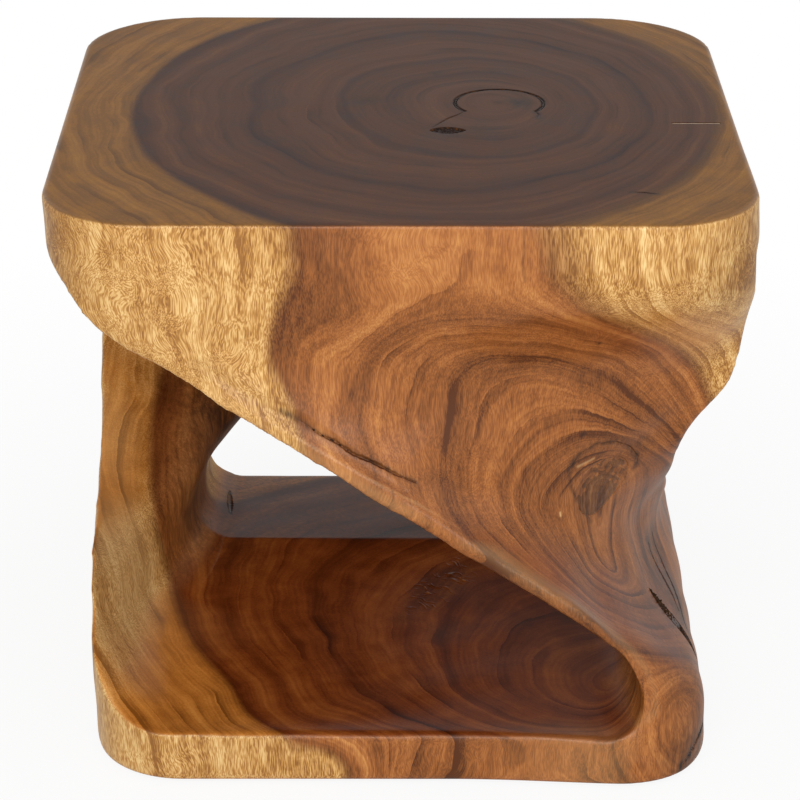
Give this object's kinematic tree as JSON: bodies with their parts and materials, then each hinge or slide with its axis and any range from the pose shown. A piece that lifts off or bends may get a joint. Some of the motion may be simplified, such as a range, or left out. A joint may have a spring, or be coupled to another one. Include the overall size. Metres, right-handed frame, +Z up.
{
  "type": "side table",
  "caption": "Low side table carved from a single trunk section: rounded square top and base joined by broad ribbon legs around a passage that twists on its way down.",
  "frame": {"origin": "on the floor, under the middle of the table", "axes": "+Z up, the front faces -Y, +X to the right as seen from the front"},
  "size_m": [0.5078, 0.5078, 0.457],
  "materials": {
    "lacquered_wood": "satin lacquer over golden sapwood and brown heartwood",
    "dark_filler": "dark wood filler, rubbed flush",
    "pale_wax": "pale wax, rubbed flush",
    "knot_wood": "satin lacquer",
    "bark": "rough bark under lacquer",
    "felt": "brown felt"
  },
  "bodies": {
    "root": {"carved_body": "lacquered_wood", "pith_fill": "dark_filler", "ring_shake_fill": "dark_filler", "top_check_fill": "pale_wax", "edge_check_fill": "dark_filler", "encased_knot": "knot_wood", "bark_pocket": "bark", "foot_void_fill": "dark_filler", "floor_pad_front_left": "felt", "floor_pad_front_right": "felt", "floor_pad_back_left": "felt", "floor_pad_back_right": "felt"}
  },
  "joints": []
}
